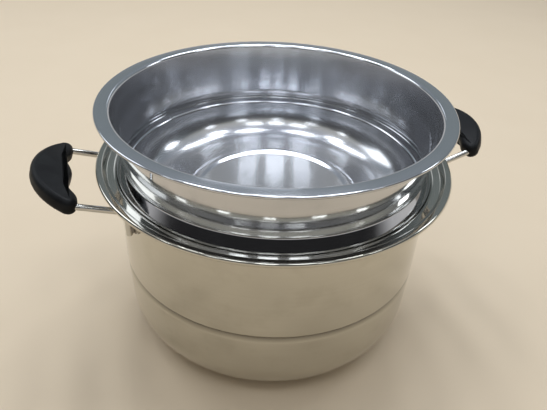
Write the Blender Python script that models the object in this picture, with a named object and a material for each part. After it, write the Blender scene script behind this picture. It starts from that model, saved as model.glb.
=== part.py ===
"""A two-handled stainless steel steamer pot with its lift-out steaming tier.

The pot and the tier are each one drawn sheet, turned from a profile of its cut edge.
Two wire loops carry black moulded grips, and their turned-down feet are welded to four
plates on the wall under the rim. The handles lie along X, and the front is -Y.
Lengths are in millimetres here and become metres when a mesh is made.
"""

from math import acos, asin, cos, degrees, hypot, pi, radians, sin, sqrt, tan

import bmesh
import bpy
from mathutils import Vector

MM = 0.001

# Gaps between pieces that touch, and the fineness of round forms.
FIT_GAP = 0.3
ROUND_STEPS = 52

# The pot: one drawn sheet with a seat and a rolled lip at its mouth.
POT_HEIGHT = 165.0
POT_INSIDE_RADIUS = 130.0
POT_SHEET = 1.2
POT_WALL_DRAFT = 1.9
POT_WALL_BARREL = 3
POT_CORNER_RADIUS = 42.0
GROOVE_HEIGHT = 79.0
GROOVE_DEPTH = 0.9
GROOVE_UPPER_FLANK = 2.2
GROOVE_LOWER_FLANK = 5.8
SEAT_DEPTH = 5.0
SEAT_CORNER_RADIUS = 4.0
SEAT_WIDTH = 4.9
RISER_SLANT = 2.6
LIP_WIDTH = 5.5
LIP_ROLL_RADIUS = 1.9

# The tier: a flanged basin whose shoulder bead rests on the rounded edge of the seat.
TIER_SHEET = 1.0
TIER_RISE = 53.7
TIER_WALL_DRAFT = 6.6
BOWL_DEPTH = 32.0
BOWL_CLEARANCE = 7.2
BOWL_WALL_DRAFT = 1.0
BOWL_CORNER_RADIUS = 16.0
BEAD_RADIUS = 2.4
BEAD_OVERLAP = 0.8
BEAD_STEP = 5.8
BEAD_FLARE_HEIGHT = 9.1
FLANGE_WIDTH = 9.0
FLANGE_CORNER_RADIUS = 2.0
FLANGE_HEM_RADIUS = 1.2
FLOOR_RING_RADIUS = 70.0
FLOOR_RING_WIDTH = 12.0
FLOOR_RING_RISE = 1.6

# The handles: a bent wire through a moulded grip, tilted up away from the wall.
HANDLE_TILT = radians(17.6)
WIRE_RADIUS = 2.5
WIRE_SPACING = 84.0
WIRE_BELOW_RIM = 4.8
WIRE_FOOT = 20.5
WIRE_FOOT_BEND = 6.0
WIRE_GRIP_BEND = 11.5
WIRE_INTO_GRIP = 12.5
TUNNEL_CLEARANCE = 0.3
FINGER_ROOM = 16.0
GRIP_LENGTH = 93.0
GRIP_DEPTH = 32.0
GRIP_END_DEPTH = 8.5
GRIP_THICKNESS = 12.6
GRIP_EDGE_RADIUS = 4.5
GRIP_END_RADIUS = 6.0
FINGER_NOTCH_DEPTH = 5.4
FINGER_BUMP_HEIGHT = 3.2
FINGER_NOTCH_SPACING = 41.0
GRIP_PAD_SPACING = 74.0
PLATE_SHEET = 1.2
PLATE_WIDTH = 18.0
PLATE_HEIGHT = 19.5
PLATE_CORNER_RADIUS = 4.5
PLATE_BELOW_ELBOW = 18.5

# What follows from the sizes above.
POT_OUTSIDE_RADIUS = POT_INSIDE_RADIUS + POT_SHEET
SEAT_LEVEL = POT_HEIGHT - SEAT_DEPTH
SEAT_CORNER_CENTRE = (POT_INSIDE_RADIUS + SEAT_CORNER_RADIUS, SEAT_LEVEL - SEAT_CORNER_RADIUS)
RISER_FOOT_RADIUS = SEAT_CORNER_CENTRE[0] + SEAT_WIDTH
RISER_HEAD_RADIUS = RISER_FOOT_RADIUS + RISER_SLANT
RIM_RADIUS = RISER_HEAD_RADIUS + LIP_WIDTH
BEAD_CENTRE_RADIUS = POT_INSIDE_RADIUS + BEAD_OVERLAP - BEAD_RADIUS
BEAD_TO_SEAT = SEAT_CORNER_RADIUS + BEAD_RADIUS + FIT_GAP
BEAD_LEVEL = SEAT_CORNER_CENTRE[1] + sqrt(
    BEAD_TO_SEAT**2 - (SEAT_CORNER_CENTRE[0] - BEAD_CENTRE_RADIUS) ** 2
)
PLATE_INSIDE_RADIUS = POT_OUTSIDE_RADIUS + FIT_GAP
FOOT_RADIUS = PLATE_INSIDE_RADIUS + PLATE_SHEET + FIT_GAP + WIRE_RADIUS
FOOT_REACH = sqrt(FOOT_RADIUS**2 - (WIRE_SPACING / 2) ** 2)
WIRE_LEVEL = POT_HEIGHT - WIRE_BELOW_RIM
ELBOW_LEVEL = WIRE_LEVEL - (RIM_RADIUS - FOOT_REACH) * tan(HANDLE_TILT)


def arc(centre, radius, start, end, steps):
    """Points on a circle from one angle to the other, in degrees, both ends included."""
    points = []
    for step in range(steps + 1):
        angle = radians(start + (end - start) * step / steps)
        points.append((centre[0] + radius * cos(angle), centre[1] + radius * sin(angle)))
    return points


def offset(path, distance):
    """The path moved sideways to its right by a distance, with mitred corners."""
    moved = []
    for index, point in enumerate(path):
        before = path[max(index - 1, 0)]
        after = path[min(index + 1, len(path) - 1)]
        normals = []
        for a, b in ((before, point), (point, after)):
            length = hypot(b[0] - a[0], b[1] - a[1])
            if length > 0:
                normals.append(((b[1] - a[1]) / length, (a[0] - b[0]) / length))
        across = (sum(n[0] for n in normals), sum(n[1] for n in normals))
        size = hypot(*across)
        mitre = 2 / size if len(normals) == 2 else 1
        scale = distance * mitre / size
        moved.append((point[0] + across[0] * scale, point[1] + across[1] * scale))
    return moved


def fillet(corners, radii, steps):
    """A path through 3-D corners, each rounded by an arc of its own radius."""
    points = [corners[0]]
    for before, corner, after, radius in zip(corners, corners[1:], corners[2:], radii[1:]):
        to_before = (before - corner).normalized()
        to_after = (after - corner).normalized()
        half = acos(max(-1.0, min(1.0, to_before.dot(to_after)))) / 2
        if radius == 0 or half > pi / 2 - 0.01:
            points.append(corner)
            continue
        middle = (to_before + to_after).normalized()
        centre = corner + middle * (radius / sin(half))
        first = corner + to_before * (radius / tan(half)) - centre
        last = corner + to_after * (radius / tan(half)) - centre
        sweep = first.angle(last)
        for step in range(steps + 1):
            part = step / steps
            near = sin((1 - part) * sweep) / sin(sweep)
            far = sin(part * sweep) / sin(sweep)
            points.append(centre + first * near + last * far)
    points.append(corners[-1])
    return points


def material(name, colour, metallic, roughness):
    """A plain Principled material."""
    made = bpy.data.materials.new(name)
    made.use_nodes = True
    shader = made.node_tree.nodes["Principled BSDF"]
    shader.inputs["Base Color"].default_value = (*colour, 1.0)
    shader.inputs["Metallic"].default_value = metallic
    shader.inputs["Roughness"].default_value = roughness
    return made


def add_object(name, data, surface, parent=None):
    """Link an object that carries this data and material."""
    made = bpy.data.objects.new(name, data)
    if not data.materials:
        data.materials.append(surface)
    bpy.context.scene.collection.objects.link(made)
    made.parent = parent
    return made


def finish_mesh(mesh, sharp=35):
    """Smooth shading, broken where faces meet at more than the sharp angle."""
    mesh.shade_smooth()
    mesh.set_sharp_from_angle(angle=radians(sharp))


def turned(name, profile, surface):
    """A solid of revolution: its profile ends on the axis and runs down its outer side."""
    mesh = bpy.data.meshes.new(name)
    points = [(radius * MM, 0.0, height * MM) for radius, height in profile]
    edges = [(index, index + 1) for index in range(len(points) - 1)]
    mesh.from_pydata(points, edges, [])
    made = add_object(name, mesh, surface)
    screw = made.modifiers.new("turn", "SCREW")
    screw.axis = "Z"
    screw.angle = 2 * pi
    screw.steps = ROUND_STEPS
    screw.render_steps = ROUND_STEPS
    screw.use_merge_vertices = True
    screw.merge_threshold = 0.00001
    screw.use_smooth_shade = True
    return made


def tube_mesh(name, path, radius, bevel_resolution):
    """The mesh of a round bar along a path, with closed ends."""
    curve = bpy.data.curves.new(name, "CURVE")
    curve.dimensions = "3D"
    curve.bevel_depth = radius * MM
    curve.bevel_resolution = bevel_resolution
    curve.use_fill_caps = True
    spline = curve.splines.new("POLY")
    spline.points.add(len(path) - 1)
    for point, place in zip(spline.points, path):
        point.co = (*(place * MM), 1.0)
    guide = bpy.data.objects.new(name, curve)
    bpy.context.scene.collection.objects.link(guide)
    evaluated = guide.evaluated_get(bpy.context.evaluated_depsgraph_get())
    mesh = bpy.data.meshes.new_from_object(evaluated)
    mesh.name = name
    bpy.data.objects.remove(guide)
    return mesh


def rolled_edge(outermost, top, radius, sheet):
    """The round edge of a flat lip, from the lip's top round to its underside."""
    centre = (outermost - radius, top - radius)
    under = degrees(asin((radius - sheet) / radius))
    return arc(centre, radius, 90, 0, 3) + arc(centre, radius, 0, -180 - under, 5)[1:]


def pot_wall_radius(height):
    """Inside radius of the pot's wall, which draws in more and more towards the floor."""
    top = SEAT_CORNER_CENTRE[1]
    foot = POT_SHEET + POT_CORNER_RADIUS
    down = (top - height) / (top - foot)
    return POT_INSIDE_RADIUS - POT_WALL_DRAFT * down**POT_WALL_BARREL


def pot_profile():
    """Half of the pot's cut edge, from the floor's centre over the rim and down again."""
    foot = POT_SHEET + POT_CORNER_RADIUS
    corner_centre = (pot_wall_radius(foot) - POT_CORNER_RADIUS, foot)
    groove_foot = GROOVE_HEIGHT - GROOVE_LOWER_FLANK
    groove_head = GROOVE_HEIGHT + GROOVE_UPPER_FLANK
    inside = [(0.0, POT_SHEET)]
    inside += arc(corner_centre, POT_CORNER_RADIUS, -90, 0, 8)
    inside.append((pot_wall_radius(groove_foot), groove_foot))
    middle = GROOVE_HEIGHT - GROOVE_LOWER_FLANK / 2
    inside.append((pot_wall_radius(middle) - GROOVE_DEPTH * 0.6, middle))
    inside.append((pot_wall_radius(GROOVE_HEIGHT) - GROOVE_DEPTH, GROOVE_HEIGHT))
    inside.append((pot_wall_radius(groove_head), groove_head))
    inside += arc(SEAT_CORNER_CENTRE, SEAT_CORNER_RADIUS, 180, 90, 4)
    inside.append((RISER_FOOT_RADIUS, SEAT_LEVEL))
    riser_bend = 0.35
    inside.append(
        (RISER_FOOT_RADIUS + RISER_SLANT * riser_bend, SEAT_LEVEL + SEAT_DEPTH * 0.2)
    )
    inside.append(
        (RISER_HEAD_RADIUS - RISER_SLANT * riser_bend, POT_HEIGHT - SEAT_DEPTH * 0.2)
    )
    inside.append((RISER_HEAD_RADIUS, POT_HEIGHT))
    inside.append((RIM_RADIUS - 2 * LIP_ROLL_RADIUS, POT_HEIGHT))
    outside = offset(inside, POT_SHEET)
    outside[0] = (0.0, 0.0)
    roll = rolled_edge(RIM_RADIUS, POT_HEIGHT, LIP_ROLL_RADIUS, POT_SHEET)
    return inside[:-1] + roll + outside[-2::-1]


def floor_ring(level):
    """A low rounded ring pressed up in the tier's floor."""
    half = FLOOR_RING_WIDTH / 2
    points = []
    for step in range(6):
        across = step / 5
        rise = FLOOR_RING_RISE * sin(pi * across) ** 1.5
        points.append((FLOOR_RING_RADIUS - half + FLOOR_RING_WIDTH * across, level + rise))
    return points


def tier_profile():
    """Half of the tier's cut edge, in heights measured from the centre of its bead."""
    under_floor = -BOWL_DEPTH - TIER_SHEET
    bowl_radius = POT_INSIDE_RADIUS - BOWL_CLEARANCE
    bead_radius = BEAD_CENTRE_RADIUS + BEAD_RADIUS
    bead = (BEAD_CENTRE_RADIUS, 0.0)
    neck = bead_radius - BEAD_STEP
    rim_wall = neck + TIER_WALL_DRAFT
    flange_under = TIER_RISE - TIER_SHEET
    flange_radius = rim_wall + FLANGE_CORNER_RADIUS + FLANGE_WIDTH
    corner_centre = (
        bowl_radius - BOWL_WALL_DRAFT - BOWL_CORNER_RADIUS,
        under_floor + BOWL_CORNER_RADIUS,
    )
    outside = [(0.0, under_floor)]
    outside += floor_ring(under_floor)
    outside += arc(corner_centre, BOWL_CORNER_RADIUS, -90, 0, 5)
    outside.append((bowl_radius, -2.6 * BEAD_RADIUS))
    outside.append((bowl_radius + 0.5 * TIER_SHEET, -1.8 * BEAD_RADIUS))
    outside.append((bowl_radius + 1.6 * TIER_SHEET, -1.3 * BEAD_RADIUS))
    outside += arc(bead, BEAD_RADIUS, -90, 50, 4)
    flare_foot = outside[-1]
    for part in (0.36, 0.7):
        outside.append(
            (
                flare_foot[0] + (neck - flare_foot[0]) * part**0.9,
                flare_foot[1] + (BEAD_FLARE_HEIGHT - flare_foot[1]) * part**1.1,
            )
        )
    outside.append((neck, BEAD_FLARE_HEIGHT))
    outside += arc(
        (rim_wall + FLANGE_CORNER_RADIUS, flange_under - FLANGE_CORNER_RADIUS),
        FLANGE_CORNER_RADIUS,
        180,
        90,
        3,
    )
    outside.append((flange_radius - 2 * FLANGE_HEM_RADIUS, flange_under))
    inside = offset(outside, -TIER_SHEET)
    inside[0] = (0.0, -BOWL_DEPTH)
    hem = rolled_edge(flange_radius, TIER_RISE, FLANGE_HEM_RADIUS, TIER_SHEET)
    return inside[:-1] + hem + outside[-2::-1]


def inner_edge(across):
    """Where the finger side of the grip lies, at a distance across from its middle."""
    across = abs(across)
    notch = FINGER_NOTCH_SPACING / 2
    pad = GRIP_PAD_SPACING / 2
    deepest = FINGER_ROOM + FINGER_NOTCH_DEPTH
    if across < notch:
        return deepest - FINGER_BUMP_HEIGHT * (1 + cos(pi * across / notch)) / 2
    if across < pad:
        return deepest - FINGER_NOTCH_DEPTH * (1 - cos(pi * (across - notch) / (pad - notch))) / 2
    return FINGER_ROOM


def grip_outline():
    """The grip seen from above: scalloped towards the pot, one wide arc on its outer side."""
    half = GRIP_LENGTH / 2
    sagitta = GRIP_DEPTH - GRIP_END_DEPTH
    arc_radius = (half**2 + sagitta**2) / (2 * sagitta)
    arc_centre = (FINGER_ROOM + GRIP_DEPTH - arc_radius, 0.0)
    shoulder = FINGER_ROOM + GRIP_END_DEPTH
    steps = 20
    inner = []
    for step in range(steps + 1):
        across = GRIP_PAD_SPACING * (step / steps - 0.5)
        inner.append(Vector((inner_edge(across), across, 0.0)))
    reach = degrees(asin((half - GRIP_END_RADIUS) / arc_radius))
    outer = [Vector((*point, 0.0)) for point in arc(arc_centre, arc_radius, reach, -reach, 10)]
    corners = [
        inner[-1],
        Vector((FINGER_ROOM, half, 0.0)),
        Vector((shoulder, half, 0.0)),
        outer[0],
    ]
    front = fillet(corners, [0, GRIP_END_RADIUS, GRIP_END_RADIUS, 0], 3)[1:-1]
    back = [Vector((point.x, -point.y, 0.0)) for point in reversed(front)]
    return inner + front + outer + back


def grip_mesh(name):
    """The grip as stacked copies of its outline, drawn in towards both faces."""
    outline = [(point.x, point.y) for point in grip_outline()]
    half = GRIP_THICKNESS / 2
    layers = []
    for step in range(5):
        angle = radians(90 * step / 4)
        drawn_in = GRIP_EDGE_RADIUS * (1 - sin(angle))
        layers.append((drawn_in, -half + GRIP_EDGE_RADIUS * (1 - cos(angle))))
    layers += [(drawn_in, -height) for drawn_in, height in reversed(layers)]
    built = bmesh.new()
    rings = []
    for drawn_in, height in layers:
        closed = [outline[-1]] + outline + [outline[0]]
        ring = offset(closed, drawn_in)[1:-1] if drawn_in else outline
        rings.append([built.verts.new((x * MM, y * MM, height * MM)) for x, y in ring])
    for low, high in zip(rings, rings[1:]):
        for index in range(len(low)):
            after = (index + 1) % len(low)
            built.faces.new((low[index], low[after], high[after], high[index]))
    built.faces.new(rings[0])
    built.faces.new(rings[-1])
    bmesh.ops.recalc_face_normals(built, faces=built.faces[:])
    mesh = bpy.data.meshes.new(name)
    built.to_mesh(mesh)
    built.free()
    finish_mesh(mesh)
    return mesh


def wire_path():
    """The wire's centre line, from one welded foot through the grip to the other."""
    half = WIRE_SPACING / 2
    bar = FINGER_ROOM + WIRE_INTO_GRIP
    bar_x = RIM_RADIUS + bar * cos(HANDLE_TILT)
    bar_z = WIRE_LEVEL + bar * sin(HANDLE_TILT)
    side = [
        Vector((FOOT_REACH, half, ELBOW_LEVEL - WIRE_FOOT)),
        Vector((FOOT_REACH, half, ELBOW_LEVEL)),
        Vector((bar_x, half, bar_z)),
    ]
    corners = side + [Vector((point.x, -point.y, point.z)) for point in reversed(side)]
    radii = [0, WIRE_FOOT_BEND, WIRE_GRIP_BEND, WIRE_GRIP_BEND, WIRE_FOOT_BEND, 0]
    return fillet(corners, radii, 4)


def plate_mesh(name, side):
    """A thin plate with round corners, bent to the wall behind one foot of the wire."""
    middle = side * asin(WIRE_SPACING / 2 / FOOT_RADIUS)
    low = ELBOW_LEVEL - PLATE_BELOW_ELBOW
    high = low + PLATE_HEIGHT
    half = PLATE_WIDTH / 2
    straight = half - PLATE_CORNER_RADIUS
    columns = []
    for step in range(4):
        angle = radians(90 * (1 - step / 3))
        drop = PLATE_CORNER_RADIUS * (1 - cos(angle))
        columns.append((-straight - PLATE_CORNER_RADIUS * sin(angle), drop))
    columns.append((0.0, 0.0))
    columns += [(-across, drop) for across, drop in reversed(columns[:-1])]
    built = bmesh.new()
    rows = []
    for across, drop in columns:
        turn = middle + across / PLATE_INSIDE_RADIUS
        row = []
        for radius, height in (
            (PLATE_INSIDE_RADIUS, low + drop),
            (PLATE_INSIDE_RADIUS + PLATE_SHEET, low + drop),
            (PLATE_INSIDE_RADIUS + PLATE_SHEET, high - drop),
            (PLATE_INSIDE_RADIUS, high - drop),
        ):
            place = Vector((radius * cos(turn), radius * sin(turn), height))
            row.append(built.verts.new(place * MM))
        rows.append(row)
    for here, there in zip(rows, rows[1:]):
        for index in range(4):
            after = (index + 1) % 4
            built.faces.new((here[index], here[after], there[after], there[index]))
    built.faces.new(rows[0])
    built.faces.new(rows[-1])
    bmesh.ops.recalc_face_normals(built, faces=built.faces[:])
    mesh = bpy.data.meshes.new(name)
    built.to_mesh(mesh)
    built.free()
    finish_mesh(mesh)
    return mesh


def clear_scene():
    """Start from an empty scene."""
    for old in list(bpy.data.objects):
        bpy.data.objects.remove(old, do_unlink=True)


def build_handles(steel, black):
    """Both handles, the left one the right one's meshes turned half round."""
    path = wire_path()
    wire = tube_mesh("handle_wire", path, WIRE_RADIUS, 3)
    wire.shade_smooth()
    grip = grip_mesh("grip")
    tunnel = tube_mesh("grip_tunnel", path, WIRE_RADIUS + TUNNEL_CLEARANCE, 3)
    plates = {"back": plate_mesh("plate_back", 1), "front": plate_mesh("plate_front", -1)}
    for side, turn in (("right", 0.0), ("left", pi)):
        frame = bpy.data.objects.new("handle_frame_" + side, None)
        bpy.context.scene.collection.objects.link(frame)
        frame.rotation_euler.z = turn
        add_object("handle_wire_" + side, wire, steel, frame)
        held = add_object("grip_" + side, grip, black, frame)
        held.location = Vector((RIM_RADIUS, 0.0, WIRE_LEVEL)) * MM
        held.rotation_euler.y = -HANDLE_TILT
        cutter = add_object("grip_tunnel_" + side, tunnel, black, frame)
        cutter.hide_render = True
        cutter.display_type = "WIRE"
        bore = held.modifiers.new("wire tunnel", "BOOLEAN")
        bore.operation = "DIFFERENCE"
        bore.solver = "EXACT"
        bore.object = cutter
        for place, mesh in plates.items():
            if side == "left":
                place = "front" if place == "back" else "back"
            add_object("plate_" + side + "_" + place, mesh, steel, frame)


def build():
    """The whole object, pot first, standing on its base at the origin."""
    clear_scene()
    steel = material("polished_steel", (0.66, 0.65, 0.62), 1.0, 0.08)
    tier_steel = material("tier_steel", (0.68, 0.68, 0.67), 1.0, 0.11)
    black = material("black_grip", (0.016, 0.016, 0.018), 0.0, 0.3)
    turned("pot_shell", pot_profile(), steel)
    tier = turned("steamer_tier", tier_profile(), tier_steel)
    tier.location.z = BEAD_LEVEL * MM
    build_handles(steel, black)


build()
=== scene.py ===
# %% [markdown]
# # A steamer pot with its tier
# The real object is a drawn stainless steel pot, a flanged steel tier that stands in its mouth,
# and two side handles of bent wire with black moulded grips. Its solids come ready from the packed
# frame. This lesson gives each piece a fine surface and a finish, and lights it on a plain floor.

# %% Load the frame
from math import asin, cos, degrees, hypot, pi, radians, sin, sqrt, tan

import bmesh
import bpy
from mathutils import Euler, Matrix, Vector


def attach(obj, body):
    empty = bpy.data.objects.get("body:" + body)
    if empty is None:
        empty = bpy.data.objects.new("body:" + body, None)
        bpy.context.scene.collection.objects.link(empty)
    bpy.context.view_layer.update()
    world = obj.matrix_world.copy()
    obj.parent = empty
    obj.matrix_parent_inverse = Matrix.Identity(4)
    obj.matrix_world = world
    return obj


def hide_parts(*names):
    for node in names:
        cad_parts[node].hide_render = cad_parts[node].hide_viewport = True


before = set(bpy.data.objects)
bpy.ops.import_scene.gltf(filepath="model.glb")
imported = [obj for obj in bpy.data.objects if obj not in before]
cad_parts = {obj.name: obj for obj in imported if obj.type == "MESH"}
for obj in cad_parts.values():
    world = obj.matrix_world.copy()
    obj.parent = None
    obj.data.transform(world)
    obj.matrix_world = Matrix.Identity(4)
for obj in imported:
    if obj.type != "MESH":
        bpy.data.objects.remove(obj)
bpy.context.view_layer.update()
print("nodes:", sorted(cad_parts))

# %% [markdown]
# ## The camera
# The pot is seen from its front left, from above the rim. The eye's place and turn come from
# fitting a plain pinhole camera to the ellipses of both rims, so the lens follows from that too.

# %% Camera
camera = bpy.data.objects.new("camera", bpy.data.cameras.new("camera"))
bpy.context.scene.collection.objects.link(camera)
camera.location = (-0.1434, -0.3933, 0.3960)
camera.rotation_euler = Euler((radians(55.66), radians(-2.46), radians(-18.52)))
camera.data.sensor_width = 36.0
camera.data.lens = 36.86
camera.data.clip_start = 0.01
bpy.context.scene.camera = camera
bpy.context.scene.view_settings.view_transform = "Standard"
print("lens", camera.data.lens, "mm")

# %% [markdown]
# ## Sums with nodes
# Shader and geometry nodes can be written as Python sums. This small class wraps one output, and
# each operator adds the Math node that does the sum, so `1 - mask` reads as it does on paper.


# %% A node's output in Python sums
class Field:
    """A node's output that can be added, scaled and compared."""

    def __init__(self, tree, socket):
        self.tree = tree
        self.socket = socket

    def math(self, operation, *values, clamp=False):
        settings = {"operation": operation, "use_clamp": clamp}
        return add_node(self.tree, "ShaderNodeMath", settings, dict(enumerate(values)))

    def __add__(self, other):
        return self.math("ADD", self, other)

    def __radd__(self, other):
        return self.math("ADD", other, self)

    def __sub__(self, other):
        return self.math("SUBTRACT", self, other)

    def __rsub__(self, other):
        return self.math("SUBTRACT", other, self)

    def __mul__(self, other):
        return self.math("MULTIPLY", self, other)

    def __rmul__(self, other):
        return self.math("MULTIPLY", other, self)

    def __truediv__(self, other):
        return self.math("DIVIDE", self, other)

    def __pow__(self, power):
        return self.math("POWER", self, power)

    def clamp(self):
        return self.math("ADD", self, 0.0, clamp=True)


def plug(tree, socket, value):
    """Link a field to a socket, or set the socket to a plain value."""
    if isinstance(value, Field):
        tree.links.new(value.socket, socket)
    else:
        socket.default_value = value


def add_node(tree, kind, settings=None, inputs=None, output=0):
    """One node of any kind: its settings first, then the values or links of its sockets."""
    node = tree.nodes.new(kind)
    for name, value in (settings or {}).items():
        if name == "stops":
            ramp = node.color_ramp.elements
            while len(ramp) < len(value):
                ramp.new(0.5)
            for stop, (place, colour) in zip(ramp, value):
                stop.position = place
                stop.color = (*colour, 1.0)
        else:
            setattr(node, name, value)
    for key, value in (inputs or {}).items():
        plug(tree, node.inputs[key], value)
    return Field(tree, node.outputs[output])


# %% [markdown]
# ## A finish
# Each surface gets one Principled shader. What varies over it is read from the piece's own
# coordinates, in metres, so one pattern has its real size on every piece.


# %% One material and the nodes that it uses most
class Finish:
    """A Principled material with short names for its patterns."""

    def __init__(self, name):
        self.material = bpy.data.materials.new(name)
        self.material.use_nodes = True
        self.tree = self.material.node_tree
        self.shader = self.tree.nodes["Principled BSDF"]
        coordinates = self.tree.nodes.new("ShaderNodeTexCoord")
        self.place = Field(self.tree, coordinates.outputs["Object"])
        parts = self.tree.nodes.new("ShaderNodeSeparateXYZ")
        plug(self.tree, parts.inputs[0], self.place)
        self.x, self.y, self.z = (Field(self.tree, socket) for socket in parts.outputs)

    def node(self, kind, settings=None, inputs=None, output=0):
        return add_node(self.tree, kind, settings, inputs, output)

    def vector(self, x, y, z):
        return self.node("ShaderNodeCombineXYZ", None, {0: x, 1: y, 2: z})

    def attribute(self, name):
        return self.node("ShaderNodeAttribute", {"attribute_name": name}, None, "Fac")

    def noise(self, vector, scale, detail=2.0, roughness=0.5):
        inputs = {"Vector": vector, "Scale": scale, "Detail": detail, "Roughness": roughness}
        return self.node("ShaderNodeTexNoise", None, inputs, "Fac")

    def between(self, value, low, high):
        """0 below the low value, 1 above the high one, and a soft step between them."""
        settings = {"interpolation_type": "SMOOTHSTEP"}
        inputs = {"Value": value, "From Min": low, "From Max": high}
        return self.node("ShaderNodeMapRange", settings, inputs)

    def mix(self, mask, first, second):
        """The first colour where the mask is 0, the second where it is 1."""
        return self.node("ShaderNodeMix", {"data_type": "RGBA"}, {0: mask, 6: first, 7: second}, 2)

    def bump(self, height, distance, normal=None):
        inputs = {"Height": height, "Distance": distance, "Strength": 1.0}
        if normal is not None:
            inputs["Normal"] = normal
        return self.node("ShaderNodeBump", None, inputs)

    def set(self, **inputs):
        for name, value in inputs.items():
            plug(self.tree, self.shader.inputs[name.replace("_", " ")], value)
        return self.material


# %% [markdown]
# ## Turned steel
# Drawn pots are spun and polished on a lathe, so their fine marks run round the axis. The pattern
# uses the distance from the axis and the height, and stretches a noise round the piece. Two layers
# of the mesh vary the finish, from 0 to 1: satin is where the polish is duller, and the groove layer
# marks the pressed groove, which is rougher and has a painted dark reflection and shade in its
# colour.
# Satin steel is a little less metallic too, which gives it a pale haze.


# %% Steel that was spun and polished
LINES_PER_METRE, RISE_SHARE, WANDER = 650.0, 0.83, 0.7
HAZE = 0.1


def steel_marks(finish):
    """Fine spun lines, slow waves of the sheet and soft smudges, as fields from 0 to 1."""
    radius = (finish.x * finish.x + finish.y * finish.y) ** 0.5
    round_x = finish.x / (radius + 0.001)
    round_y = finish.y / (radius + 0.001)
    along = (radius + finish.z * RISE_SHARE) * LINES_PER_METRE
    stretched = finish.vector(round_x * WANDER, round_y * WANDER, along)
    lines = finish.noise(stretched, scale=1.0, detail=3.0)
    waves = finish.noise(finish.place, scale=14.0, detail=1.0, roughness=0.4)
    spots = finish.noise(finish.place, scale=31.0, detail=4.0, roughness=0.62)
    return lines, waves, finish.between(spots, low=0.48, high=0.74)


def turned_steel(name, bright, dull, mirror, satin, streak):
    """Steel from a mirror polish to a satin one, with its gloss drawn out across the lines."""
    finish = Finish(name)
    lines, waves, smudges = steel_marks(finish)
    worn = finish.attribute("satin")
    groove = finish.attribute("groove")
    clean = finish.mix(lines * 0.35 + smudges * 0.45, (*bright, 1.0), (*dull, 1.0))
    # The groove layer takes the colour towards a dark brown: a painted dark reflection and shade in
    # the pressed groove, and a rougher polish there.
    colour = finish.mix(groove * 0.75, clean, (0.14, 0.13, 0.11, 1.0))
    roughness = mirror + worn * (satin - mirror) + lines * 0.03 + smudges * 0.045 + groove * 0.15
    fine = finish.bump(lines, distance=0.000004)
    shaped = finish.bump(waves, distance=0.0008, normal=fine)
    metal = 1.0 - (worn * 4.0).clamp() * HAZE
    finish.set(Anisotropic=streak, Anisotropic_Rotation=0.25)
    return finish.set(Base_Color=colour, Metallic=metal, Roughness=roughness, Normal=shaped)


pot_steel = turned_steel(
    "pot_steel",
    bright=(0.59, 0.57, 0.51),
    dull=(0.50, 0.48, 0.42),
    mirror=0.04,
    satin=0.2,
    streak=0.4,
)
tier_steel = turned_steel(
    "tier_steel",
    bright=(0.65, 0.66, 0.69),
    dull=(0.55, 0.56, 0.59),
    mirror=0.05,
    satin=0.16,
    streak=0.8,
)
print("finishes:", pot_steel.name, tier_steel.name)

# %% [markdown]
# ## Wire and plates
# The handle wire is drawn through a die, which leaves marks along it. The plates are blanked from
# sheet, and the welds that hold them leave a straw-coloured tint round them.


# %% Finishes of the wire, the plates and the welds
def drawn_wire():
    finish = Finish("wire_steel")
    marks = finish.noise(finish.place, scale=420.0, detail=3.0)
    patches = finish.noise(finish.place, scale=60.0, detail=2.0)
    colour = finish.mix(patches, (0.66, 0.65, 0.62, 1.0), (0.50, 0.49, 0.47, 1.0))
    roughness = 0.1 + marks * 0.12
    surface = finish.bump(marks, distance=0.00003)
    return finish.set(Base_Color=colour, Metallic=1.0, Roughness=roughness, Normal=surface)


def welded_plate():
    finish = Finish("plate_steel")
    heat = finish.attribute("heat")
    marks = finish.noise(finish.place, scale=300.0, detail=3.0)
    clean = finish.mix(marks, (0.60, 0.59, 0.56, 1.0), (0.50, 0.49, 0.47, 1.0))
    tint = finish.mix(heat.clamp(), clean, (0.42, 0.33, 0.22, 1.0))
    roughness = 0.12 + marks * 0.08 + heat * 0.15
    surface = finish.bump(marks, distance=0.00003)
    return finish.set(Base_Color=tint, Metallic=1.0, Roughness=roughness, Normal=surface)


def weld_metal():
    finish = Finish("weld_metal")
    grain = finish.noise(finish.place, scale=900.0, detail=3.0)
    colour = finish.mix(grain, (0.42, 0.39, 0.35, 1.0), (0.26, 0.23, 0.2, 1.0))
    surface = finish.bump(grain, distance=0.0001)
    return finish.set(Base_Color=colour, Metallic=1.0, Roughness=0.3 + grain * 0.2, Normal=surface)


wire_steel = drawn_wire()
plate_steel = welded_plate()
weld_steel = weld_metal()
print("finishes:", wire_steel.name, plate_steel.name, weld_steel.name)

# %% [markdown]
# ## The moulded grips
# The grips are pressed from a dark heat-proof resin. It comes out of the tool glossy and dulls
# where hands and cloths rub it, so a slow noise moves its roughness and a fine one its surface.


# %% Finish of the grips
def moulded_resin():
    finish = Finish("grip_black")
    grain = finish.noise(finish.place, scale=1500.0, detail=2.0)
    touched = finish.noise(finish.place, scale=70.0, detail=3.0, roughness=0.6)
    rubbed = finish.between(touched, low=0.35, high=0.7)
    colour = finish.mix(rubbed, (0.005, 0.005, 0.006, 1.0), (0.010, 0.011, 0.012, 1.0))
    roughness = 0.36 + rubbed * 0.12 + grain * 0.05
    surface = finish.bump(grain, distance=0.00003)
    finish.set(Specular_IOR_Level=0.12)
    return finish.set(Base_Color=colour, Roughness=roughness, Normal=surface)


grip_black = moulded_resin()
print("finish:", grip_black.name)

# %% [markdown]
# ## Real sizes
# The same sizes as the solids', in millimetres. Each outline below is worked out from them, so a
# fine surface lies where its solid does. Only the curve from the tier's bowl to its floor is
# wider here than in the solid, and the welds have no solid.

# %% Sizes
MM = 0.001
FIT_GAP = 0.3

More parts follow.
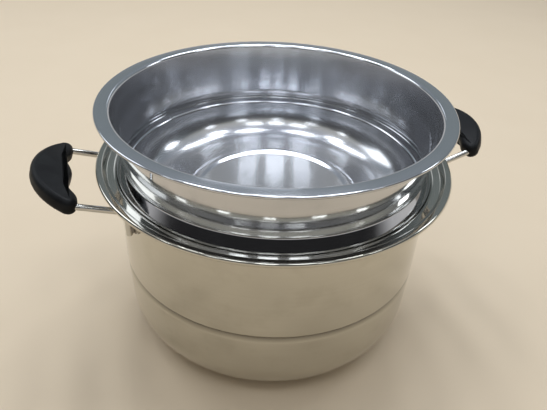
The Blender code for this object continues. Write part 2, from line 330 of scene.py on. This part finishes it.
POT_HEIGHT, POT_INSIDE, POT_SHEET, POT_CORNER = 165.0, 130.0, 1.2, 42.0
POT_DRAFT, POT_BARREL = 1.9, 3
GROOVE_HEIGHT, GROOVE_DEPTH, GROOVE_UPPER, GROOVE_LOWER = 79.0, 0.9, 2.2, 5.8
GROOVE_EASE, GROOVE_BEND, GROOVE_CLEAN = 4.0, 1.6, 1.2
SEAT_DEPTH, SEAT_CORNER, SEAT_WIDTH = 5.0, 4.0, 4.9
RISER_SLANT, RISER_FOOT_BEND, RISER_HEAD_BEND = 2.6, 1.8, 1.4
LIP_WIDTH, LIP_ROLL = 5.5, 1.9

TIER_SHEET, TIER_RISE, TIER_DRAFT = 1.0, 53.7, 6.6
BOWL_DEPTH, BOWL_CLEARANCE, BOWL_DRAFT, BOWL_CORNER = 32.0, 7.2, 1.0, 26.0
BEAD_RADIUS, BEAD_OVERLAP, BEAD_STEP, BEAD_FLARE = 2.4, 0.8, 5.8, 9.1
BEAD_START, BEAD_END, BEAD_INSET = -84, 38, 0.6
NECK_BEND, SHOULDER_BEND = 2.6, 2.2
FLANGE_WIDTH, FLANGE_CORNER, FLANGE_HEM = 9.0, 2.0, 1.2
RING_RADIUS, RING_WIDTH, RING_RISE, RING_POWER = 70.0, 12.0, 1.6, 1.5

TILT = radians(17.6)
WIRE_RADIUS, WIRE_SPACING, WIRE_BELOW_RIM, WIRE_FOOT = 2.5, 84.0, 4.8, 20.5
FOOT_BEND, GRIP_BEND, INTO_GRIP = 6.0, 11.5, 12.5
FINGER_ROOM, GRIP_LENGTH, GRIP_DEPTH, GRIP_THICKNESS = 16.0, 93.0, 32.0, 12.6
GRIP_END_DEPTH, GRIP_EDGE, GRIP_END = 8.5, 4.5, 6.0
NOTCH_DEPTH, BUMP_HEIGHT, NOTCH_SPACING, PAD_SPACING = 5.4, 3.2, 41.0, 74.0
PLATE_SHEET, PLATE_WIDTH, PLATE_HEIGHT, PLATE_CORNER, PLATE_BELOW = 1.2, 18.0, 19.5, 4.5, 18.5
WELD_SIZE, WELD_BESIDE, WELD_OUT, WELD_START, WELD_SPACING = 1.1, 2.0, 0.5, 2.5, 1.5

POT_OUTSIDE = POT_INSIDE + POT_SHEET
SEAT_LEVEL = POT_HEIGHT - SEAT_DEPTH
RISER_FOOT = POT_INSIDE + SEAT_CORNER + SEAT_WIDTH
RISER_HEAD = RISER_FOOT + RISER_SLANT
RIM = RISER_HEAD + LIP_WIDTH
BEAD_FOOT, BOWL_HEAD = -1.02 * BEAD_RADIUS, -1.45 * BEAD_RADIUS
BEAD_CENTRE = POT_INSIDE + BEAD_OVERLAP - BEAD_RADIUS
SEAT_REACH = SEAT_CORNER + BEAD_RADIUS + FIT_GAP
BEAD_LEVEL = (
    SEAT_LEVEL - SEAT_CORNER + sqrt(SEAT_REACH**2 - (POT_INSIDE + SEAT_CORNER - BEAD_CENTRE) ** 2)
)
PLATE_INSIDE = POT_OUTSIDE + FIT_GAP
FOOT_RADIUS = PLATE_INSIDE + PLATE_SHEET + FIT_GAP + WIRE_RADIUS
FOOT_REACH = sqrt(FOOT_RADIUS**2 - (WIRE_SPACING / 2) ** 2)
WIRE_LEVEL = POT_HEIGHT - WIRE_BELOW_RIM
ELBOW_LEVEL = WIRE_LEVEL - (RIM - FOOT_REACH) * tan(TILT)
print("rim", RIM, "mm, bead level", round(BEAD_LEVEL, 2), "mm")

# %% [markdown]
# ## Outlines with rounded corners
# Pressed sheet has no sharp corner. A path is given as its corner points, each with the radius of
# its bend, and every bend becomes a fine arc. The sheet's other face is the same path moved sideways.

# %% Paths
NEARLY_STRAIGHT = 0.004


def rounded(corners, radii, step=7.0):
    """A path through corners in 2-D or 3-D, each bend an arc with a point every few degrees."""
    corners = [Vector((*corner, 0.0)[:3]) for corner in corners]
    points = [corners[0]]
    for before, corner, after, radius in zip(corners, corners[1:], corners[2:], radii[1:]):
        to_before = (before - corner).normalized()
        to_after = (after - corner).normalized()
        half = to_before.angle(to_after) / 2
        if radius == 0 or half > pi / 2 - NEARLY_STRAIGHT:
            points.append(corner)
            continue
        centre = corner + (to_before + to_after).normalized() * (radius / sin(half))
        first = corner + to_before * (radius / tan(half)) - centre
        last = corner + to_after * (radius / tan(half)) - centre
        sweep = first.angle(last)
        count = max(2, round(degrees(sweep) / step))
        for index in range(count + 1):
            part = index / count
            near = sin((1 - part) * sweep) / sin(sweep)
            far = sin(part * sweep) / sin(sweep)
            points.append(centre + first * near + last * far)
    points.append(corners[-1])
    return points


def arc(centre, radius, start, end, step=12.0):
    """Points on a circle between two angles in degrees."""
    count = max(2, round(abs(end - start) / step))
    angles = [radians(start + (end - start) * index / count) for index in range(count + 1)]
    return [Vector((centre[0] + radius * cos(a), centre[1] + radius * sin(a), 0)) for a in angles]


def moved_sideways(path, distance):
    """The path moved to its right, each point along the mean of its two normals."""
    moved = []
    for index, point in enumerate(path):
        before = path[max(index - 1, 0)]
        after = path[min(index + 1, len(path) - 1)]
        ahead = [(b - a).normalized() for a, b in ((before, point), (point, after)) if b != a]
        along = sum(ahead, Vector()).normalized()
        across = Vector((along.y, -along.x, 0.0))
        spread = across.dot(Vector((ahead[0].y, -ahead[0].x, 0.0)))
        moved.append(point + across * (distance / spread))
    return moved


def rolled_edge(outermost, top, radius, sheet):
    """The round edge of a lip, from its top round to its underside."""
    under = degrees(asin((radius - sheet) / radius))
    return arc((outermost - radius, top - radius), radius, 90, -180 - under, step=15.0)


# %% [markdown]
# ## The pot's outline
# From the middle of the floor over the rim and down the outside: a wide corner, a wall with one
# pressed groove, the seat for a lid with its rounded inner edge, a short riser and a rolled lip.


# %% The pot's cut edge
INSIDE_SATIN, SEAT_SATIN = 1.0, 0.1


def wall_radius(height):
    """The wall's inner radius, which draws in towards the corner below."""
    foot = POT_SHEET + POT_CORNER
    top = SEAT_LEVEL - SEAT_CORNER
    return POT_INSIDE - POT_DRAFT * ((top - height) / (top - foot)) ** POT_BARREL


def pot_outline():
    """The outline, and its layers with one value for each point."""
    wall_foot = POT_SHEET + POT_CORNER
    foot = GROOVE_HEIGHT - GROOVE_LOWER
    head = GROOVE_HEIGHT + GROOVE_UPPER
    bends = [
        (wall_radius(wall_foot), wall_foot, 0),
        (wall_radius(foot), foot, GROOVE_EASE),
        (wall_radius(GROOVE_HEIGHT) - GROOVE_DEPTH, GROOVE_HEIGHT, GROOVE_BEND),
        (wall_radius(head), head, GROOVE_BEND),
        (POT_INSIDE, SEAT_LEVEL, SEAT_CORNER),
        (RISER_FOOT, SEAT_LEVEL, RISER_FOOT_BEND),
        (RISER_HEAD, POT_HEIGHT, RISER_HEAD_BEND),
        (RIM - 2 * LIP_ROLL, POT_HEIGHT, 0),
    ]
    wall = rounded([bend[:2] for bend in bends], [bend[2] for bend in bends])
    corner_centre = (wall_radius(wall_foot) - POT_CORNER, wall_foot)
    corner = arc(corner_centre, POT_CORNER, -90, 0, step=4.0)
    inside = [Vector((0, POT_SHEET, 0))] + corner + wall[1:]
    outside = moved_sideways(inside, POT_SHEET)
    roll = rolled_edge(RIM, POT_HEIGHT, LIP_ROLL, POT_SHEET)
    outline = inside[:-1] + roll + outside[-2::-1]
    satin = [0.0] * len(outline)
    groove = [0.0] * len(outline)
    for index, point in enumerate(inside):
        satin[index] = INSIDE_SATIN if point.y < SEAT_LEVEL - SEAT_CORNER else SEAT_SATIN
    # The groove layer covers the pot's pressed groove outside, where the steel gets a painted dark
    # reflection and shade, and a rougher polish.
    for index in range(len(inside), len(outline)):
        off = outline[index].y - GROOVE_HEIGHT
        groove[index] = float(GROOVE_CLEAN - GROOVE_LOWER < off < GROOVE_UPPER - GROOVE_CLEAN)
    return outline, {"satin": satin, "groove": groove}


# %% [markdown]
# ## The tier's outline
# The flange, the tapered wall, the flare down to the shoulder bead that rests on the pot's seat,
# the narrower bowl and the floor with its pressed ring. The bowl meets its floor in a wide
# curve, because a tight one would show each lamp as a thin line and not as a patch.


# %% The tier's cut edge
RING_STEPS = 24
BOWL_SATIN, WALL_SATIN = 1.0, 0.55


def tier_outline():
    """The outline, worked out from the bead's centre, and its layers."""
    floor = -BOWL_DEPTH - TIER_SHEET
    bowl = POT_INSIDE - BOWL_CLEARANCE
    neck = BEAD_CENTRE + BEAD_RADIUS - BEAD_STEP
    wall_top = neck + TIER_DRAFT
    flange_under = TIER_RISE - TIER_SHEET
    flange = wall_top + FLANGE_CORNER + FLANGE_WIDTH
    start = RING_RADIUS - RING_WIDTH / 2
    ring = []
    for index in range(RING_STEPS + 1):
        part = index / RING_STEPS
        rise = RING_RISE * sin(pi * part) ** RING_POWER
        ring.append(Vector((start + RING_WIDTH * part, floor + rise, 0)))
    lower = rounded(
        [
            (start + RING_WIDTH, floor),
            (bowl - BOWL_DRAFT, floor),
            (bowl, BOWL_HEAD),
            (BEAD_CENTRE - BEAD_INSET, BEAD_FOOT),
        ],
        [0, BOWL_CORNER, SHOULDER_BEND, 0],
    )
    bead = arc((BEAD_CENTRE, 0.0), BEAD_RADIUS, BEAD_START, BEAD_END)
    upper = rounded(
        [
            bead[-1],
            (neck, BEAD_FLARE),
            (wall_top, flange_under),
            (flange - 2 * FLANGE_HEM, flange_under),
        ],
        [0, NECK_BEND, FLANGE_CORNER, 0],
    )
    outside = [Vector((0, floor, 0))] + ring + lower[1:] + bead + upper[1:]
    inside = moved_sideways(outside, -TIER_SHEET)
    hem = rolled_edge(flange, TIER_RISE, FLANGE_HEM, TIER_SHEET)
    outline = inside[:-1] + hem + outside[-2::-1]
    lifted = [Vector((point.x, point.y + BEAD_LEVEL, 0)) for point in outline]
    satin = [0.0] * len(outline)
    for index, point in enumerate(inside):
        satin[index] = BOWL_SATIN if point.y < -2 * BEAD_RADIUS else WALL_SATIN
    return lifted, {"satin": satin, "groove": [0.0] * len(outline)}


print("pot", len(pot_outline()[0]), "points, tier", len(tier_outline()[0]), "points")

# %% [markdown]
# ## Turning an outline
# A turned piece follows one rule: each point of its outline goes round the axis. Geometry Nodes
# lay a grid out over the outline's points and the turn, and place each grid point by that rule.

# %% Geometry Nodes that turn an outline
TURN_SECTIONS = 256
SEAM_GAP = 1e-7


def new_tree(name, inputs):
    """An empty geometry tree with a path in, a mesh out and named inputs."""
    tree = bpy.data.node_groups.new(name, "GeometryNodeTree")
    tree.interface.new_socket("Mesh", in_out="OUTPUT", socket_type="NodeSocketGeometry")
    tree.interface.new_socket("Path", in_out="INPUT", socket_type="NodeSocketGeometry")
    for label, kind in inputs:
        tree.interface.new_socket(label, in_out="INPUT", socket_type=kind)
    source = tree.nodes.new("NodeGroupInput")
    fields = {socket.name: Field(tree, socket) for socket in source.outputs if socket.name}
    return tree, fields


def close_tree(tree, geometry, surface):
    """Smooth the mesh, realize it, set its material and hand it out."""
    smooth = add_node(tree, "GeometryNodeSetShadeSmooth", None, {0: geometry})
    real = add_node(tree, "GeometryNodeRealizeInstances", None, {0: smooth})
    done = add_node(tree, "GeometryNodeSetMaterial", None, {0: real, "Material": surface})
    plug(tree, tree.nodes.new("NodeGroupOutput").inputs[0], done)


def turning_tree():
    """A tree that turns a path round the axis, with the path's layers."""
    kinds = [("Sections", "NodeSocketInt"), ("Finish", "NodeSocketMaterial")]
    tree, given = new_tree("turned sheet", kinds)
    path = given["Path"]
    count = add_node(tree, "GeometryNodeAttributeDomainSize", None, {0: path})
    columns = given["Sections"] + 1
    size = {"Size X": 1.0, "Size Y": 1.0, "Vertices X": count, "Vertices Y": columns}
    grid = add_node(tree, "GeometryNodeMeshGrid", None, size)
    parts = tree.nodes.new("ShaderNodeSeparateXYZ")
    plug(tree, parts.inputs[0], add_node(tree, "GeometryNodeInputPosition"))
    across, round_the_axis = (Field(tree, socket) for socket in list(parts.outputs)[:2])
    along = (across + 0.5) * (count - 1)
    which = along.math("ROUND", along)
    turn = (round_the_axis + 0.5) * (2 * pi)

    def along_path(kind, value):
        settings = {"data_type": kind, "domain": "POINT"}
        return add_node(
            tree, "GeometryNodeSampleIndex", settings, {0: path, 1: value, "Index": which}
        )

    point = along_path("FLOAT_VECTOR", add_node(tree, "GeometryNodeInputPosition"))
    split = tree.nodes.new("ShaderNodeSeparateXYZ")
    plug(tree, split.inputs[0], point)
    radius, _, height = (Field(tree, socket) for socket in split.outputs)
    placed = add_node(
        tree,
        "ShaderNodeCombineXYZ",
        None,
        {
            0: radius * turn.math("COSINE", turn),
            1: radius * turn.math("SINE", turn),
            2: height,
        },
    )
    number = {"data_type": "FLOAT"}
    # The satin layer and the groove layer, which carries the painted groove shade, go from the
    # outline onto the turned mesh.
    for layer in ("satin", "groove"):
        named = add_node(tree, "GeometryNodeInputNamedAttribute", number, {"Name": layer})
        values = {0: grid, "Name": layer, "Value": along_path("FLOAT", named)}
        settings = {**number, "domain": "POINT"}
        grid = add_node(tree, "GeometryNodeStoreNamedAttribute", settings, values)
    moved = add_node(tree, "GeometryNodeSetPosition", None, {0: grid, "Position": placed})
    seam = {0: moved, "Distance": SEAM_GAP}
    closed = add_node(tree, "GeometryNodeMergeByDistance", None, seam)
    close_tree(tree, closed, given["Finish"])
    return tree


# %% [markdown]
# ## From a tree to a plain mesh
# The modifier is evaluated once, its result kept as a mesh and the modifier dropped. A mesh that
# came out inside out has a negative volume, and is turned the right way.


# %% Running a tree
def signed_volume(mesh):
    """The volume inside a closed mesh, negative where its faces point inwards."""
    mesh.calc_loop_triangles()
    total = 0.0
    for triangle in mesh.loop_triangles:
        a, b, c = (mesh.vertices[index].co for index in triangle.vertices)
        total += a.dot(b.cross(c)) / 6
    return total


def grown(name, path, tree, values):
    """The mesh that a tree makes from a path, as a new object at the origin."""
    guide = bpy.data.objects.new(name + "_guide", path)
    bpy.context.scene.collection.objects.link(guide)
    modifier = guide.modifiers.new("grow", "NODES")
    modifier.node_group = tree
    for item in tree.interface.items_tree:
        if item.in_out == "INPUT" and item.name in values:
            modifier[item.identifier] = values[item.name]
    evaluated = guide.evaluated_get(bpy.context.evaluated_depsgraph_get())
    mesh = bpy.data.meshes.new_from_object(evaluated)
    bpy.data.objects.remove(guide)
    if signed_volume(mesh) < 0:
        mesh.flip_normals()
    piece = bpy.data.objects.new(name, mesh)
    bpy.context.scene.collection.objects.link(piece)
    print(name, len(mesh.polygons), "faces")
    return piece


def path_mesh(name, points, layers=None):
    """A chain of edges, with one value for each point in every named layer."""
    mesh = bpy.data.meshes.new(name)
    links = [(index, index + 1) for index in range(len(points) - 1)]
    mesh.from_pydata([tuple(point * MM) for point in points], links, [])
    for label, values in (layers or {}).items():
        layer = mesh.attributes.new(label, "FLOAT", "POINT")
        layer.data.foreach_set("value", values)
    return mesh


turning = turning_tree()


def turned(name, outline, surface, node, body):
    """A turned piece in place of its solid, riding on its body."""
    points, layers = outline
    upright = [Vector((point.x, 0.0, point.y)) for point in points]
    chain = path_mesh(name, upright, layers)
    piece = grown(name, chain, turning, {"Sections": TURN_SECTIONS, "Finish": surface})
    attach(piece, body)
    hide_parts(node)
    return piece


pot = turned("pot_sheet", pot_outline(), pot_steel, "pot_shell", "pot")
tier = turned("tier_sheet", tier_outline(), tier_steel, "steamer_tier", "tier")

# %% [markdown]
# ## The handle wires
# One wire makes each handle: a foot that turns down along the wall, a leg out into the grip, a bar
# across inside it, and the same back again. A round section is carried along that path.

# %% Bent wires
WIRE_SIDES = 32


def wire_path():
    """The right handle's wire, from its back foot through the grip to its front foot."""
    half = WIRE_SPACING / 2
    bar = FINGER_ROOM + INTO_GRIP
    bar_x, bar_z = RIM + bar * cos(TILT), WIRE_LEVEL + bar * sin(TILT)
    side = [
        (FOOT_REACH, half, ELBOW_LEVEL - WIRE_FOOT),
        (FOOT_REACH, half, ELBOW_LEVEL),
        (bar_x, half, bar_z),
    ]
    corners = side + [(x, -y, z) for x, y, z in reversed(side)]
    return rounded(corners, [0, FOOT_BEND, GRIP_BEND, GRIP_BEND, FOOT_BEND, 0], step=9.0)


def wire_tree():
    """A tree that carries a round section along a path."""
    kinds = [
        ("Radius", "NodeSocketFloat"),
        ("Sides", "NodeSocketInt"),
        ("Finish", "NodeSocketMaterial"),
    ]
    tree, given = new_tree("bent wire", kinds)
    line = add_node(tree, "GeometryNodeMeshToCurve", None, {0: given["Path"]})
    section = add_node(
        tree,
        "GeometryNodeCurvePrimitiveCircle",
        None,
        {"Resolution": given["Sides"], "Radius": given["Radius"]},
    )
    tube = add_node(
        tree,
        "GeometryNodeCurveToMesh",
        None,
        {"Curve": line, "Profile Curve": section, "Fill Caps": True},
    )
    close_tree(tree, tube, given["Finish"])
    return tree


bending = wire_tree()


def half_turn(points, side):
    """The right handle's points, or the same turned half round for the left one."""
    sign = 1 if side == "right" else -1
    return [Vector((point.x * sign, point.y * sign, point.z)) for point in points]


for side in ("right", "left"):
    chain = path_mesh("wire_path_" + side, half_turn(wire_path(), side))
    values = {"Radius": WIRE_RADIUS * MM, "Sides": WIRE_SIDES, "Finish": wire_steel}
    wire = grown("bent_wire_" + side, chain, bending, values)
    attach(wire, "pot")
    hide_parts("handle_wire_" + side)

# %% [markdown]
# ## Welds
# Each foot is welded to its plate along both sides. A weld is a row of small drops that ran into
# each other, so one rounded drop is set on every point of a row and a noise upsets them all.

# %% Rows of weld drops
WELD_DROPS = 7


def weld_rows():
    """Points down both sides of each foot, between the wire and its plate."""
    turn = asin(WIRE_SPACING / 2 / FOOT_RADIUS)
    radius = PLATE_INSIDE + PLATE_SHEET + WELD_OUT
    lowest = ELBOW_LEVEL - WIRE_FOOT + WELD_START
    points = []
    for foot in (turn, -turn):
        for beside in (-WELD_BESIDE, WELD_BESIDE):
            angle = foot + beside / FOOT_RADIUS
            for index in range(WELD_DROPS):
                height = lowest + WELD_SPACING * index
                points.append(Vector((radius * cos(angle), radius * sin(angle), height)))
    return points


def weld_tree():
    """A tree that sets a ragged drop on every point of a path."""
    kinds = [("Size", "NodeSocketFloat"), ("Finish", "NodeSocketMaterial")]
    tree, given = new_tree("weld drops", kinds)
    ball = {"Radius": given["Size"], "Subdivisions": 3}
    drop = add_node(tree, "GeometryNodeMeshIcoSphere", None, ball)
    points = add_node(tree, "GeometryNodeMeshToPoints", None, {0: given["Path"]})
    drops = add_node(tree, "GeometryNodeInstanceOnPoints", None, {0: points, "Instance": drop})
    solid = add_node(tree, "GeometryNodeRealizeInstances", None, {0: drops})
    place = add_node(tree, "GeometryNodeInputPosition")
    grain = {"Vector": place, "Scale": 900.0, "Detail": 2.0}
    ragged = add_node(tree, "ShaderNodeTexNoise", None, grain) - 0.5
    away = add_node(tree, "GeometryNodeInputNormal")
    settings = {"operation": "SCALE"}
    push = add_node(
        tree, "ShaderNodeVectorMath", settings, {0: away, "Scale": ragged * given["Size"]}
    )
    rough = add_node(tree, "GeometryNodeSetPosition", None, {0: solid, "Offset": push})
    close_tree(tree, rough, given["Finish"])
    return tree


welding = weld_tree()
for side in ("right", "left"):
    rows = path_mesh("weld_rows_" + side, half_turn(weld_rows(), side))
    values = {"Size": WELD_SIZE * MM, "Finish": weld_steel}
    weld = grown("weld_drops_" + side, rows, welding, values)
    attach(weld, "pot")

# %% [markdown]
# ## The grips
# Each grip is one moulding: a long outer arc, finger scallops towards the pot and all its edges
# rounded. Rings of the same outline, drawn in towards both faces, give that form.

# %% Moulded grips
SCALLOP_STEPS, EDGE_STEPS = 72, 8


def inner_edge(across):
    """How far the grip's edge with the finger scallops stands off the rim."""
    across = abs(across)
    notch, pad = NOTCH_SPACING / 2, PAD_SPACING / 2
    deepest = FINGER_ROOM + NOTCH_DEPTH
    if across < notch:
        return deepest - BUMP_HEIGHT * (1 + cos(pi * across / notch)) / 2
    if across < pad:
        return deepest - NOTCH_DEPTH * (1 - cos(pi * (across - notch) / (pad - notch))) / 2
    return FINGER_ROOM


def grip_outline():
    """The grip's outline seen from above, out from the rim and across."""
    half = GRIP_LENGTH / 2
    sagitta = GRIP_DEPTH - GRIP_END_DEPTH
    radius = (half**2 + sagitta**2) / (2 * sagitta)
    centre = (FINGER_ROOM + GRIP_DEPTH - radius, 0.0)
    inner = []
    for index in range(SCALLOP_STEPS + 1):
        across = PAD_SPACING * (index / SCALLOP_STEPS - 0.5)
        inner.append(Vector((inner_edge(across), across, 0.0)))
    reach = degrees(asin((half - GRIP_END) / radius))
    outer = arc(centre, radius, reach, -reach, step=2.5)
    corners = [inner[-1], (FINGER_ROOM, half), (FINGER_ROOM + GRIP_END_DEPTH, half), outer[0]]
    front = rounded(corners, [0, GRIP_END, GRIP_END, 0], step=8.0)[1:-1]
    back = [Vector((point.x, -point.y, 0.0)) for point in reversed(front)]
    return inner + front + outer + back


def grip_rings():
    """Each ring as how far it is drawn in and its height over the grip's middle."""
    half = GRIP_THICKNESS / 2
    rings = []
    for index in range(EDGE_STEPS + 1):
        angle = radians(90 * index / EDGE_STEPS)
        rings.append((GRIP_EDGE * (1 - sin(angle)), -half + GRIP_EDGE * (1 - cos(angle))))
    return rings + [(inset, -height) for inset, height in reversed(rings)]


def smooth_object(name, built, surface, sharp):
    """An object of a built mesh, smooth but for edges sharper than an angle in degrees."""
    bmesh.ops.recalc_face_normals(built, faces=built.faces[:])
    mesh = bpy.data.meshes.new(name)
    built.to_mesh(mesh)
    built.free()
    mesh.shade_smooth()
    mesh.set_sharp_from_angle(angle=radians(sharp))
    mesh.materials.append(surface)
    piece = bpy.data.objects.new(name, mesh)
    bpy.context.scene.collection.objects.link(piece)
    return piece


def grip_piece(side):
    """One grip, its rings joined and closed at both faces."""
    outline = grip_outline()
    closed = [outline[-1]] + outline + [outline[0]]
    place = Matrix.Translation((RIM, 0.0, WIRE_LEVEL)) @ Matrix.Rotation(-TILT, 4, "Y")
    built = bmesh.new()
    rows = []
    for inset, height in grip_rings():
        ring = moved_sideways(closed, inset)[1:-1]
        spots = half_turn([place @ Vector((p.x, p.y, height)) for p in ring], side)
        rows.append([built.verts.new(spot * MM) for spot in spots])
    for low, high in zip(rows, rows[1:]):
        for index in range(len(low)):
            after = (index + 1) % len(low)
            built.faces.new((low[index], low[after], high[after], high[index]))
    built.faces.new(rows[0])
    built.faces.new(rows[-1])
    piece = smooth_object("moulded_grip_" + side, built, grip_black, sharp=50)
    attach(piece, "pot")
    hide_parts("grip_" + side)
    return piece


for side in ("right", "left"):
    grip = grip_piece(side)
    print(grip.name, len(grip.data.polygons), "faces")

# %% [markdown]
# ## The welded plates
# Behind each foot of the wire a small plate with round corners lies against the wall. It is a bent
# grid, so that the heat tint of its welds can be stored point by point.

# %% Plates
PLATE_COLUMNS, PLATE_ROWS = 40, 24
PLATE_SEAM = 1e-6
HEAT_RADIUS, HEAT_WIDTH, HEAT_STRETCH = 4.0, 3.0, 1.8


def plate_piece(side, place):
    """One plate: two bent grids and the rim between them, with the heat of its welds."""
    sign = 1 if (place == "back") == (side == "right") else -1
    middle = sign * asin(WIRE_SPACING / 2 / FOOT_RADIUS)
    low = ELBOW_LEVEL - PLATE_BELOW
    high = low + PLATE_HEIGHT
    half = PLATE_WIDTH / 2
    columns = []
    for index in range(PLATE_COLUMNS + 1):
        across = half * (2 * index / PLATE_COLUMNS - 1)
        into_corner = max(0.0, abs(across) - (half - PLATE_CORNER))
        drop = PLATE_CORNER - sqrt(max(0.0, PLATE_CORNER**2 - into_corner**2))
        columns.append((across, low + drop, high - drop))
    built = bmesh.new()
    heat = built.verts.layers.float.new("heat")
    faces = []
    for radius in (PLATE_INSIDE, PLATE_INSIDE + PLATE_SHEET):
        face = []
        for across, bottom, top in columns:
            turn = middle + across / PLATE_INSIDE
            row = []
            for index in range(PLATE_ROWS + 1):
                height = bottom + (top - bottom) * index / PLATE_ROWS
                spot = Vector((radius * cos(turn), radius * sin(turn), height))
                vertex = built.verts.new(half_turn([spot], side)[0] * MM)
                near = hypot(across, (height - low - PLATE_HEIGHT / 2) / HEAT_STRETCH)
                vertex[heat] = max(0.0, 1 - abs(near - HEAT_RADIUS) / HEAT_WIDTH)
                row.append(vertex)
            face.append(row)
        faces.append(face)
    rims = []
    for face in faces:
        for here, there in zip(face, face[1:]):
            for index in range(PLATE_ROWS):
                built.faces.new((here[index], here[index + 1], there[index + 1], there[index]))
        low_and_side = [row[0] for row in face] + face[-1][1:]
        rims.append(low_and_side + [row[-1] for row in face[-2::-1]] + face[0][-2:0:-1])
    inner, outer = rims
    for index in range(len(inner)):
        after = (index + 1) % len(inner)
        built.faces.new((inner[index], inner[after], outer[after], outer[index]))
    bmesh.ops.remove_doubles(built, verts=built.verts[:], dist=PLATE_SEAM)
    piece = smooth_object("welded_plate_" + side + "_" + place, built, plate_steel, sharp=40)
    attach(piece, "pot")
    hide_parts("plate_" + side + "_" + place)
    return piece


for side in ("right", "left"):
    for place in ("front", "back"):
        plate = plate_piece(side, place)
        print(plate.name, len(plate.data.polygons), "faces")

# %% [markdown]
# ## Floor and light
# The floor is plain and pale, with a little warmth, because polished steel shows whatever it
# stands on. One large lamp would draw one long smear on every curve of the steel. So small
# lamps hang in rows, behind, overhead and in front, and each row draws its own row of bright
# patches in the bowl. One more stands low behind the pot, one on its right and a wide one on
# its left. The sky between them is built from two ramps over the height, one for the side
# behind the pot and one for the side in front. The front one is dark low down, and the flare
# over the pot's seat mirrors that as a dark band.

# %% Floor
FLOOR_RADIUS, FLOOR_SIDES = 9.0, 96


def plain_floor():
    """A large round floor, in metres."""
    mesh = bpy.data.meshes.new("floor")
    turns = [2 * pi * index / FLOOR_SIDES for index in range(FLOOR_SIDES)]
    ring = [(FLOOR_RADIUS * cos(turn), FLOOR_RADIUS * sin(turn), 0.0) for turn in turns]
    mesh.from_pydata(ring, [], [tuple(range(FLOOR_SIDES))])
    floor = bpy.data.objects.new("floor", mesh)
    bpy.context.scene.collection.objects.link(floor)
    finish = Finish("floor_pale")
    grain = finish.noise(finish.place, scale=9.0, detail=2.0)
    colour = finish.mix(grain, (0.80, 0.66, 0.49, 1.0), (0.77, 0.63, 0.46, 1.0))
    mesh.materials.append(finish.set(Base_Color=colour, Roughness=0.7))
    return floor


print("floor:", plain_floor().name)

# %% Sky
VIEW_TURN = radians(20.2)
SIDE_STEEPNESS, SIDE_SHIFT = 1.3, 0.2
DARK = (0.02, 0.02, 0.02)


def studio_sky():
    """A sky with one ramp of colours behind the pot and one in front, softly joined."""
    world = bpy.data.worlds.new("studio")
    bpy.context.scene.world = world
    world.use_nodes = True
    tree = world.node_tree
    parts = tree.nodes.new("ShaderNodeSeparateXYZ")
    plug(tree, parts.inputs[0], add_node(tree, "ShaderNodeTexCoord", None, None, "Generated"))
    east, north, height = (Field(tree, socket) for socket in parts.outputs)
    behind = east * sin(VIEW_TURN) + north * cos(VIEW_TURN)
    low_stops = [(0.0, (0.66, 0.64, 0.60)), (0.17, (0.56, 0.55, 0.54))]
    top_stop = (1.0, (0.42, 0.45, 0.54))
    back_stops = [
        *low_stops,
        (0.27, (0.185, 0.215, 0.225)),
        (0.4, (0.175, 0.21, 0.22)),
        (0.7, (0.24, 0.27, 0.31)),
        top_stop,
    ]
    front_stops = [
        *low_stops,
        (0.27, DARK),
        (0.61, DARK),
        (0.7, (0.60, 0.60, 0.55)),
        (0.86, (0.52, 0.53, 0.53)),
        top_stop,
    ]
    back = add_node(tree, "ShaderNodeValToRGB", {"stops": back_stops}, {0: height})
    front = add_node(tree, "ShaderNodeValToRGB", {"stops": front_stops}, {0: height})
    side = (behind * SIDE_STEEPNESS + SIDE_SHIFT).clamp()
    sky = add_node(tree, "ShaderNodeMix", {"data_type": "RGBA"}, {0: side, 6: front, 7: back}, 2)
    plug(tree, tree.nodes["Background"].inputs["Color"], sky)
    return world


print("sky:", studio_sky().name)

# %% Lamps
COOL, COOLER = (0.90, 0.95, 1.0), (0.86, 0.90, 1.0)
LAMP_AIM = Vector((0.0, 0.0, 0.1))


def lamp(name, turn, rise, distance, size, watts, colour=COOL):
    """A soft rectangular lamp that faces the pot, turned from the view and raised, in degrees."""
    light = bpy.data.lights.new(name, "AREA")
    light.shape = "RECTANGLE"
    light.size, light.size_y = size
    light.energy = watts
    light.color = colour
    flat = distance * cos(radians(rise))
    bearing = VIEW_TURN + radians(turn)
    place = Vector((flat * sin(bearing), flat * cos(bearing), distance * sin(radians(rise))))
    hung = bpy.data.objects.new(name, light)
    hung.location = place
    hung.rotation_euler = (LAMP_AIM - place).to_track_quat("-Z", "Y").to_euler()
    bpy.context.scene.collection.objects.link(hung)


def lamp_row(name, turns, **same):
    """One lamp for each turn, alike in all else."""
    for index, turn in enumerate(turns):
        lamp(name + "_" + str(index), turn, **same)


lamp_row("back", (-24, 0, 24), rise=60, distance=2.2, size=(0.3, 0.45), watts=4.8)
lamp_row("front", (150, 180, 210), rise=64, distance=2.2, size=(0.34, 0.34), watts=1.6)
lamp_row("low", (108, 144, 180, 216, 252), rise=46, distance=2.2, size=(0.26, 0.12), watts=0.6)
lamp("panel", -3, rise=31.5, distance=2.2, size=(0.4, 0.3), watts=0.34, colour=COOLER)
lamp("window", 62, rise=40, distance=2.0, size=(0.3, 0.3), watts=2.2)
lamp("left", -62, rise=40, distance=2.0, size=(0.8, 0.8), watts=5.0)
overhead = [(-66, 68), (-37, 78), (37, 78), (66, 68)]
for index, (turn, rise) in enumerate(overhead):
    lamp("over_" + str(index), turn, rise, distance=2.4, size=(0.3, 0.3), watts=2.5)
